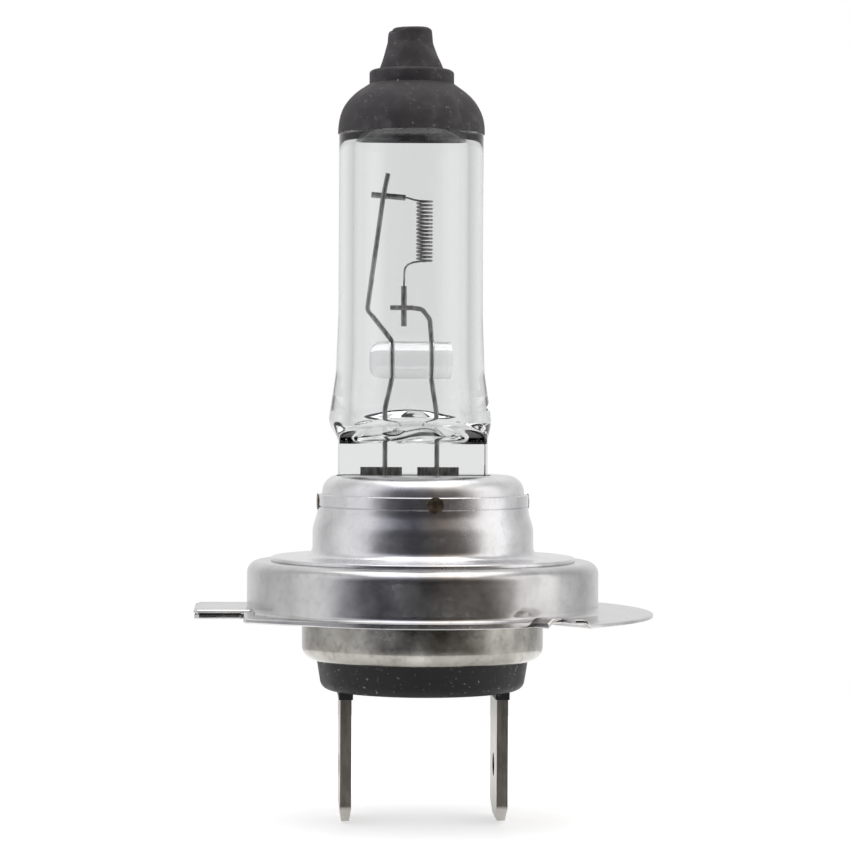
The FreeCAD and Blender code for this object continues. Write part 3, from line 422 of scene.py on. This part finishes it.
def join(pieces, name):
    bpy.ops.object.select_all(action="DESELECT")
    for piece in pieces:
        piece.select_set(True)
    bpy.context.view_layer.objects.active = pieces[0]
    bpy.ops.object.join()
    pieces[0].name = name
    return pieces[0]


def middle_x(node):
    low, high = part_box(node)
    return (low.x + high.x) / 2 / MM


# ---------------------------------------------------------------- glass burner
GLASS_AXIS = middle_x("anti_glare_coating")
TUBE = 5.22
WALL = 1.07
BULGE = 5.86
TIP_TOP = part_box("glass_envelope")[1].z / MM
PINCH_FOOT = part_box("glass_envelope")[0].z / MM
PINCH_MIDDLE = 0.26                                    # to the glass axis
PINCH_HALF_WIDTH = 5.45
PINCH_FACE = 1.65
SHOULDER = (11.75, 13.9)                               # foot and head of the pinch shoulder
TIP = 1.42
TIP_ROUND = 0.28
NECK = 1.52                                            # the tip's waist, above its flare
NECK_DROP = 1.1
FLARE = 2.26
FLARE_ROUND = 0.84
TIP_HEIGHT = 3.1
COLLAR = 2.98
COLLAR_DROP = 4.1                                      # drops are measured from the tip's top
DOME_DROP = 5.6
DOME_ROUND = 3.5
COAT_DROP = 7.62
COAT = 0.08
COAT_GAP = 0.012                                       # keeps the paint clear of the glass


def crown(extra):
    """The closed top of the burner, from the tip down, grown by extra."""
    return rounded([
        (0.0, TIP_TOP + extra),
        (TIP + extra, TIP_TOP + extra, TIP_ROUND),
        (NECK + extra, TIP_TOP - NECK_DROP + extra, FLARE_ROUND),
        (FLARE + extra, TIP_TOP - TIP_HEIGHT + extra),
        (COLLAR + extra, TIP_TOP - TIP_HEIGHT + extra, TIP_ROUND),
        (COLLAR + extra, TIP_TOP - COLLAR_DROP + extra),
        (TUBE + extra, TIP_TOP - DOME_DROP + extra, DOME_ROUND),
        (TUBE + extra, TIP_TOP - COAT_DROP),
    ], closed=False, arc_steps=10, run=0.25)


def shoulder_share(height):
    return smooth(height, *SHOULDER)


def pressed(radius, angle, height):
    """The outer skin, squeezed flat under the shoulder where the press closed on it."""
    x, y = radius * math.cos(angle), radius * math.sin(angle)
    share = shoulder_share(height)
    if share >= 1.0:
        return x, y, height
    flat = mix(PINCH_FACE, BULGE + 0.6, share)
    side = mix(PINCH_HALF_WIDTH, BULGE + 0.6, smooth(height, 11.9, 13.7))
    offset = x - PINCH_MIDDLE * (1 - share)
    x = math.copysign(soft_limit(abs(offset), side, 0.7), offset) + PINCH_MIDDLE * (1 - share)
    y = math.copysign(soft_limit(abs(y), flat, 0.5), y)
    return x, y, height


def chamber(radius, angle, height):
    """The gas chamber's wall: its floor is pinched, with a mound and ripples in the melt."""
    x, y = radius * math.cos(angle), radius * math.sin(angle)
    if height > 14.0:
        return x, y, height
    melt = 1 - smooth(height, 12.5, 13.6)
    limit = mix(PINCH_FACE, BULGE + 0.6, shoulder_share(height + 0.55)) - 0.7
    y = math.copysign(soft_limit(abs(y), max(limit, 1.5), 1.2), y)
    mound = 0.6 * math.exp(-((x - 0.8) / 1.5) ** 2)
    ripple = 0.12 * math.sin(x * 1.9 + 0.6) + 0.1 * math.sin(y * 2.1 + x * 1.1)
    return x, y, height + melt * (mound + ripple)


def make_glass():
    outside = crown(0.0)[:-1] + rounded([
        (TUBE, TIP_TOP - COAT_DROP),
        (TUBE, 21.0, 5.86),
        (mix(TUBE, BULGE, 0.25), 16.8, 5.86),
        (BULGE, 13.6),
        (BULGE, PINCH_FOOT + 0.4, 0.3),
        (BULGE - 0.3, PINCH_FOOT),
        (0.0, PINCH_FOOT),
    ], closed=False, arc_steps=12, run=0.12)
    skin = turned("glass_burner", outside, 256, GLASS_AXIS, closed=False, reshape=pressed)
    bore = TUBE - WALL
    inside = rounded([
        (0.0, 36.2),
        (bore, 35.0, 2.6),
        (bore, 17.5, 40.0),
        (bore + 0.12, 15.0, 1.0),
        (bore + 0.12, 12.4, 1.05),
        (0.0, 12.4),
    ], closed=False, arc_steps=14, run=0.15)
    room = turned("gas_chamber", inside, 256, GLASS_AXIS, closed=False, reshape=chamber,
                  inside=True)
    finish_piece(join([skin, room], "glass_burner"), "glass_envelope", 50)


def lumpy(radius, angle, height, size, depth):
    """A point of a turned skin, pushed in or out by soft lumps."""
    spot = Vector((radius * math.cos(angle), radius * math.sin(angle), height))
    push = noise_at(spot / size) * depth
    return spot.x * (1 + push / max(radius, 1.0)), spot.y * (1 + push / max(radius, 1.0)), \
        spot.z + push * 0.4


def dipped(radius, angle, height):
    """The paint's outer face: thick and uneven, with a chipped lip on the tip."""
    x, y, z = lumpy(radius, angle, height, 1.5, 0.05)
    tip = smooth(height, TIP_TOP - 1.0, TIP_TOP)
    chip = math.exp(-((x + 1.1) / 0.7) ** 2 - ((y + 0.6) / 0.8) ** 2)
    waist = 0.1 * math.sin(angle * 2 + 0.6) * tip * min(radius, 1.0)
    lean = -0.2 * smooth(height, TIP_TOP - TIP_HEIGHT, TIP_TOP)
    return x + waist + lean, y, z - 0.3 * tip * chip - 0.08 * tip * (1 - x / 1.5)


def make_coating():
    outer = turned("heatproof_coat", crown(COAT), 200, GLASS_AXIS, closed=False,
                   reshape=dipped)
    inner = turned("coat_inside", crown(COAT_GAP), 200, GLASS_AXIS, closed=False, inside=True)
    coat = join([outer, inner], "heatproof_coat")
    select_all(coat)
    bpy.ops.object.mode_set(mode="EDIT")
    bpy.ops.mesh.select_all(action="DESELECT")
    bpy.ops.mesh.select_non_manifold()
    bpy.ops.mesh.bridge_edge_loops()
    bpy.ops.object.mode_set(mode="OBJECT")
    finish_piece(coat, "anti_glare_coating", 40)


make_glass()
make_coating()


# ---------------------------------------------------------------- wires in the burner
def bent_wire(name, route, diameter, node):
    """A round wire through points in millimetres, with small bends, made a mesh."""
    bpy.ops.object.select_all(action="DESELECT")
    bpy.ops.curve.primitive_bezier_curve_add(location=(0, 0, 0))
    piece = bpy.context.object
    piece.data.splines.clear()
    spline = piece.data.splines.new("POLY")
    spline.points.add(len(route) - 1)
    for point, spot in zip(spline.points, route):
        point.co = (*(Vector(spot) * MM), 1.0)
    piece.data.bevel_depth = diameter / 2 * MM
    piece.data.bevel_resolution = 5
    piece.data.use_fill_caps = True
    select_all(piece)
    bpy.ops.object.convert(target="MESH")
    piece.name = name
    close_seams(piece)
    return finish_piece(piece, node, 60) if node else piece


def bends(corners, y=0.0, radius=0.45):
    """Points along a wire bent in an upright plane."""
    route = [(x, z, radius) for x, z in corners]
    return [(x, y, z) for x, z in rounded(route, closed=False, arc_steps=6, run=50)]


SUPPORT_WIRE = 0.35
SLEEVE_Y = SUPPORT_WIRE / 2 + 0.21
bent_wire("long_support", bends([(-2.8, 9.06), (-2.8, 13.9), (-2.31, 16.2), (-2.31, 19.07),
                                 (-4.11, 21.36), (-3.0, 29.53), (-2.65, 31.24)], radius=0.7),
          SUPPORT_WIRE, "long_support_wire")
bent_wire("short_support", bends([(0.95, 9.06), (0.95, 13.6), (0.57, 16.1), (0.57, 18.9),
                                  (0.43, 20.6), (-0.1, 21.45), (-0.9, 21.56),
                                  (-2.45, 21.56)], radius=0.5),
          SUPPORT_WIRE, "short_support_wire")


def make_coil():
    """The filament: a close helix, with both tails led away to their sleeves."""
    radius, pitch, turns, foot, steps = 0.54, 0.267, 16.5, 24.9, 28
    helix = []
    for step in range(round(turns * steps) + 1):
        angle = step / steps * math.tau - math.pi / 2
        helix.append((radius * math.cos(angle), radius * math.sin(angle),
                      foot + pitch * step / steps))
    head = helix[-1]
    lower = [(-1.45, SLEEVE_Y, 22.63), (-1.45, SLEEVE_Y, 23.3), (-1.43, 0.12, 24.2),
             (-1.38, -0.02, 24.45), (-1.2, -0.2, 24.66), (-0.85, -0.4, 24.82),
             (-0.4, -0.54, 24.88)]
    upper = [(-0.35, head[1], head[2] + 0.01), (-0.75, 0.48, head[2] + 0.08),
             (-1.22, SLEEVE_Y, 29.51), (-1.87, SLEEVE_Y, 29.56)]
    bent_wire("coiled_filament", lower + helix + upper, 0.14, "filament")


make_coil()


# ---------------------------------------------------------------- prefocus ring
RING = 12.7
SHEET = 0.35
RING_TOP = 3.28
RING_HOLE = 7.0
FLANGE_TOP = -0.35
RIM = 13.2
FLANGE_START = 13.1
FLANGE_END = 14.1                                      # in the section; stretched to the outline
LOBE = 16.65
LOBE_START = 9.8
LUG_REACH = 16.46
LUG_HALF_WIDTH = 4.1
LUG_EDGE = 0.26
HEM_REACH = 16.4                                       # the folded layer under the lug's top
HEM_HALF_WIDTH = 3.98
EAR = (12.9, 7.95)                                     # corner of the flange behind the lug
EAR_CORNER = math.atan2(EAR[1], EAR[0])
EAR_MEETING = EAR_CORNER + math.acos(RIM / math.hypot(*EAR))
FLAT = 12.8
BOSS_ANGLE = 53.0
BOSS_REACH = 14.9
BOSS_TOP = 0.58                                        # half widths
BOSS_FOOT = 1.3
DENT_ANGLE = 58.5


def outline(angle):
    """How far the flange reaches at an angle: rim, front lobe, rear ears and the bosses."""
    across, along = abs(math.sin(angle)) + 1e-9, math.cos(angle)
    reach = RIM
    flat = FLAT / across
    lobe = min(LOBE, flat)
    if along * lobe >= LOBE_START:
        reach = lobe
    behind = math.pi - abs(math.atan2(math.sin(angle), along))
    if behind < EAR_CORNER:
        reach = max(reach, EAR[0] / math.cos(behind))
    elif behind < EAR_MEETING:
        reach = max(reach, RIM / math.cos(EAR_MEETING - behind))
    off = abs(abs(math.degrees(math.atan2(math.sin(angle), along))) - BOSS_ANGLE)
    if math.radians(off) * BOSS_REACH < BOSS_FOOT:
        reach = max(reach, BOSS_REACH)
    return reach


def ring_shape(radius, angle, height):
    """The ring's sheet: flange stretched to its outline, bosses raised, dents pressed in."""
    if radius > FLANGE_START:
        share = (radius - FLANGE_START) / (FLANGE_END - FLANGE_START)
        radius = mix(FLANGE_START, outline(angle), share)
    signed = math.atan2(math.sin(angle), math.cos(angle))
    boss = abs(signed) - math.radians(BOSS_ANGLE)
    width = abs(radius * math.sin(boss))
    on_flange = smooth(radius, RING + 0.05, RING + 0.5)
    if height < 0.2 and width < BOSS_FOOT:
        height -= FLANGE_TOP * on_flange * (1 - smooth(width, BOSS_TOP, BOSS_FOOT))
    dent = (abs(signed) - math.radians(DENT_ANGLE)) * RING
    if abs(dent) < 2.0 and abs(height) < 1.2:
        level = height + 0.1 + 0.12 * dent
        leaf = math.exp(-(dent / 0.95) ** 2) * math.exp(-(level / 0.42) ** 2)
        radius -= 0.16 * leaf
    return radius * math.cos(angle), radius * math.sin(angle), height


def chamfered_slab(name, low, high, amount, side):
    """A slab between two corners, with small round edges and a flat chamfer on some."""
    bpy.ops.object.select_all(action="DESELECT")
    bpy.ops.mesh.primitive_cube_add(size=1)
    piece = bpy.context.object
    piece.name = name
    for vertex in piece.data.vertices:
        vertex.co = Vector([mix(l, h, c + 0.5) for l, h, c in zip(low, high, vertex.co)]) * MM
    for edge in piece.data.edges:
        ends = [piece.data.vertices[v].co / MM for v in edge.vertices]
        edge.select = all(side(spot) for spot in ends)
    bpy.context.tool_settings.mesh_select_mode = (False, True, False)
    bpy.ops.object.mode_set(mode="EDIT")
    bpy.ops.mesh.bevel(offset=amount * MM, segments=1)
    bpy.ops.object.mode_set(mode="OBJECT")
    soften = piece.modifiers.new("soften", "BEVEL")
    soften.width = 0.05 * MM
    soften.segments = 3
    soften.limit_method = "ANGLE"
    soften.angle_limit = math.radians(30)
    select_all(piece)
    bpy.ops.object.modifier_apply(modifier="soften")
    return piece


def web(way, bottom):
    """The slope that carries the sheet from the lug's top down to the flange."""
    bpy.ops.object.select_all(action="DESELECT")
    bpy.ops.mesh.primitive_cube_add(size=1)
    piece = bpy.context.object
    for vertex in piece.data.vertices:
        x, y, z = vertex.co
        across = mix(3.9, 6.6, y + 0.5)
        top = mix(-0.13, FLANGE_TOP, y + 0.5)
        vertex.co = Vector((mix(-12.88, -12.2, x + 0.5), across * way,
                            mix(bottom + 0.02, top, z + 0.5))) * MM
    close_seams(piece)
    return piece


def make_ring():
    bottom = FLANGE_TOP - SHEET
    inner = RING - SHEET
    section = rounded([
        (RING_HOLE, RING_TOP, 0.08),
        (RING, RING_TOP, 0.85),
        (RING, FLANGE_TOP, 0.4),
        (FLANGE_END, FLANGE_TOP, 0.1),
        (FLANGE_END, bottom, 0.1),
        (inner, bottom, 0.75),
        (inner, RING_TOP - SHEET, 0.5),
        (RING_HOLE, RING_TOP - SHEET, 0.08),
    ], arc_steps=8, run=0.14)
    hat = turned("prefocus_ring_pressing", section, 720, reshape=ring_shape)
    upper = chamfered_slab("lug_upper", (-LUG_REACH, -LUG_HALF_WIDTH, FLANGE_TOP),
                           (-12.2, LUG_HALF_WIDTH, 0.0), LUG_EDGE,
                           lambda spot: spot.z > -0.1 and abs(spot.y) > 4.0)
    lower = chamfered_slab("lug_lower", (-HEM_REACH, -HEM_HALF_WIDTH, bottom),
                           (-12.85, HEM_HALF_WIDTH, FLANGE_TOP), 0.34,
                           lambda spot: spot.x < -16.0 and abs(spot.y) > 3.9)
    webs = [web(-1, bottom), web(1, bottom)]
    finish_piece(join([hat, upper, lower] + webs, "prefocus_ring_pressing"),
                 "prefocus_ring", 30)


make_ring()


# ---------------------------------------------------------------- sleeve, holder and shell
HOLDER = 7.31
HOLDER_TOP = 9.48
HOLDER_FOOT = 3.9
SLEEVE = 7.63
SLEEVE_TOP = 8.1
SLEEVE_WIDE = 7.99                                     # below its taper
SLEEVE_SHEET = 0.3
TAPER = (6.8, 5.64)                                    # levels of the taper's top and foot
DISC = 11.0
SHELL = 8.72
SHELL_FOOT = -3.84
MOUTH = 7.67


def make_sleeve():
    disc = RING_TOP + SLEEVE_SHEET
    section = rounded([
        (SLEEVE - SLEEVE_SHEET, SLEEVE_TOP, 0.06),
        (SLEEVE, SLEEVE_TOP, 0.12),
        (SLEEVE, 7.28),
        (SLEEVE - 0.07, 7.22),
        (SLEEVE, 7.16),
        (SLEEVE, TAPER[0], 2.0),
        (SLEEVE_WIDE, TAPER[1], 2.4),
        (SLEEVE_WIDE, disc, 0.76),
        (DISC, disc, 0.16),
        (DISC, RING_TOP, 0.04),
        (SLEEVE_WIDE - SLEEVE_SHEET, RING_TOP, 1.06),
        (SLEEVE_WIDE - SLEEVE_SHEET, TAPER[1], 2.0),
        (SLEEVE - SLEEVE_SHEET, TAPER[0], 2.0),
    ], arc_steps=7, run=0.4)
    finish_piece(turned("focus_sleeve_spun", section, 256), "focus_sleeve", 30)


def slot_hole(piece, half_x, half_y, middle):
    """Cut the slot for the pinch through the holder's top with a rounded punch."""
    bpy.ops.object.select_all(action="DESELECT")
    bpy.ops.mesh.primitive_cube_add(size=1)
    punch = bpy.context.object
    for vertex in punch.data.vertices:
        x, y, z = vertex.co
        vertex.co = Vector((middle + x * 2 * half_x, y * 2 * half_y, 9.3 + z * 2)) * MM
    edges = punch.modifiers.new("edges", "BEVEL")
    edges.width = 0.5 * MM
    edges.segments = 6
    edges.affect = "EDGES"
    select_all(punch)
    bpy.ops.object.modifier_apply(modifier="edges")
    hole = piece.modifiers.new("hole", "BOOLEAN")
    hole.object = punch
    hole.solver = "EXACT"
    select_all(piece)
    bpy.ops.object.modifier_apply(modifier="hole")
    bpy.data.objects.remove(punch)


def make_holder():
    section = rounded([
        (0.0, HOLDER_TOP),
        (HOLDER, HOLDER_TOP, 1.25),
        (HOLDER, HOLDER_FOOT, 0.08),
        (HOLDER - SHEET, HOLDER_FOOT, 0.08),
        (HOLDER - SHEET, HOLDER_TOP - SHEET, 0.9),
        (0.0, HOLDER_TOP - SHEET),
    ], closed=False, arc_steps=8, run=0.4)
    cap = turned("burner_holder_cap", section, 200, closed=False)
    slot_hole(cap, PINCH_HALF_WIDTH + 0.12, PINCH_FACE + 0.12, -0.72)
    finish_piece(cap, "burner_holder", 30)


def make_shell():
    section = rounded([
        (11.2, 2.93, 0.1),
        (11.2, 2.58, 0.1),
        (SHELL, 2.58, 0.4),
        (SHELL, SHELL_FOOT, 1.0),
        (MOUTH, SHELL_FOOT, 0.06),
        (MOUTH, SHELL_FOOT + SHEET, 0.06),
        (SHELL - SHEET, SHELL_FOOT + SHEET, 0.6),
        (SHELL - SHEET, RING_TOP - SHEET, 0.7),
    ], arc_steps=8, run=0.4)
    finish_piece(turned("base_shell_spun", section, 256), "base_shell", 30)


make_sleeve()
make_holder()
make_shell()


# ---------------------------------------------------------------- studio
BACKGROUND = "#FFFFFF"


def make_floor():
    """A pale light table under the blade tips."""
    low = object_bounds()[0].z
    bpy.ops.mesh.primitive_circle_add(vertices=96, radius=0.07, fill_type="NGON",
                                      location=(0, 0, low - 0.2 * MM))
    floor = bpy.context.object
    floor.name = "light_table"
    material, tree, shader, place = new_material("light_table_white")
    shader["Base Color"].default_value = colour("#F4F4F4")
    shader["Roughness"].default_value = 0.6
    shader["Emission Color"].default_value = colour(BACKGROUND)
    shader["Emission Strength"].default_value = 0.5
    floor.data.materials.append(material)


def make_world():
    """Soft white surround with a darker, slightly tinted opening in front of the object."""
    world = bpy.data.worlds.new("studio")
    bpy.context.scene.world = world
    world.use_nodes = True
    tree = world.node_tree
    tree.nodes.clear()
    heading = add_node(tree, "ShaderNodeTexCoord", out="Generated")
    east = add_node(tree, "ShaderNodeSeparateXYZ", {"Vector": heading}, out="X")
    north = add_node(tree, "ShaderNodeSeparateXYZ", {"Vector": heading}, out="Y")
    up = add_node(tree, "ShaderNodeSeparateXYZ", {"Vector": heading}, out="Z")
    south = add_node(tree, MATHS, {0: north, 1: -1.0}, operation="MULTIPLY")
    turn = add_node(tree, MATHS, {0: east, 1: south}, operation="ARCTAN2")
    climb = add_node(tree, MATHS, {0: up}, operation="ARCSINE")
    rise = add_node(tree, MATHS, {0: climb, 1: 1.25}, operation="MULTIPLY")
    squares = []
    for angle in (turn, rise):
        plain_angle = add_node(tree, MATHS, {0: angle}, operation="ABSOLUTE")
        squares.append(add_node(tree, MATHS, {0: plain_angle, 1: 2.0}, operation="POWER"))
    both_squares = add_node(tree, MATHS, {0: squares[0], 1: squares[1]}, operation="ADD")
    reach = add_node(tree, MATHS, {0: both_squares}, operation="SQRT")
    share = add_node(tree, MATHS, {0: reach, 1: math.pi}, operation="DIVIDE")
    tone = add_node(tree, RAMP, {"Fac": share}, stops=(
        (0.0, grey(0.03)), (0.1, grey(0.06)), (0.24, grey(0.12)), (0.3, grey(0.36)),
        (0.38, grey(0.62)), (0.6, grey(0.72)), (0.7, grey(0.6)), (0.88, grey(0.84)),
        (1.0, grey(0.88))))
    side = add_node(tree, RANGE, {"Value": turn, "From Min": -math.pi / 2,
                                  "From Max": math.pi / 2, "To Min": 0.0, "To Max": 1.0})
    tint = add_node(tree, RAMP, {"Fac": side}, stops=(
        (0.0, colour("#FFFFFF")), (0.2, colour("#F6F7FF")), (0.42, colour("#DCDDF4")),
        (0.5, colour("#FFFFFF")), (0.58, colour("#FFEBD8")), (0.8, colour("#FFFAF4")),
        (1.0, colour("#FFFFFF"))))
    seen = add_node(tree, MIX, {0: 1.0, 6: tone, 7: tint}, out=2, data_type="RGBA",
                    blend_type="MULTIPLY")
    lit = add_node(tree, "ShaderNodeBackground", {"Color": seen, "Strength": 1.0})
    plain = add_node(tree, "ShaderNodeBackground", {"Color": colour(BACKGROUND),
                                                    "Strength": 1.0})
    camera_ray = add_node(tree, "ShaderNodeLightPath", out="Is Camera Ray")
    both = add_node(tree, "ShaderNodeMixShader", {0: camera_ray, 1: lit, 2: plain})
    add_node(tree, "ShaderNodeOutputWorld", {"Surface": both})


def make_softbox(name, place, width, height, power):
    """An area light that faces the middle of the bulb."""
    bpy.ops.object.light_add(type="AREA", location=place)
    lamp = bpy.context.object
    lamp.name = name
    lamp.data.shape = "RECTANGLE"
    lamp.data.size = width
    lamp.data.size_y = height
    lamp.data.energy = power
    aim = Vector((0, 0, 0.012)) - Vector(place)
    lamp.rotation_euler = aim.to_track_quat("-Z", "Y").to_euler()


def make_camera():
    """A long lens a little above the reference plane, turned slightly towards the lug's side."""
    distance = 217.7 * MM
    height = 15.63 * MM
    azimuth = math.radians(3.1)
    eye = Vector((-distance * math.sin(azimuth), -distance * math.cos(azimuth), height))
    bpy.ops.object.camera_add(location=eye)
    camera = bpy.context.object
    camera.data.sensor_width = 36.0
    camera.data.lens = 127.4
    camera.data.clip_start = 0.01
    pan = math.radians(-0.029) - azimuth
    tilt = math.radians(90 - 0.667)
    roll = math.radians(0.3)
    camera.matrix_world = (Matrix.Translation(eye) @ Matrix.Rotation(pan, 4, "Z")
                           @ Matrix.Rotation(tilt, 4, "X") @ Matrix.Rotation(roll, 4, "Z"))
    bpy.context.scene.camera = camera


make_floor()
make_world()
make_softbox("softbox_left", (-0.5, -0.12, 0.12), 0.35, 0.6, 0.15)
make_softbox("softbox_right", (0.5, -0.12, 0.12), 0.35, 0.6, 0.35)
make_softbox("softbox_top", (0.0, -0.05, 0.55), 0.6, 0.6, 1.3)
make_camera()
bpy.context.scene.view_settings.view_transform = "Standard"
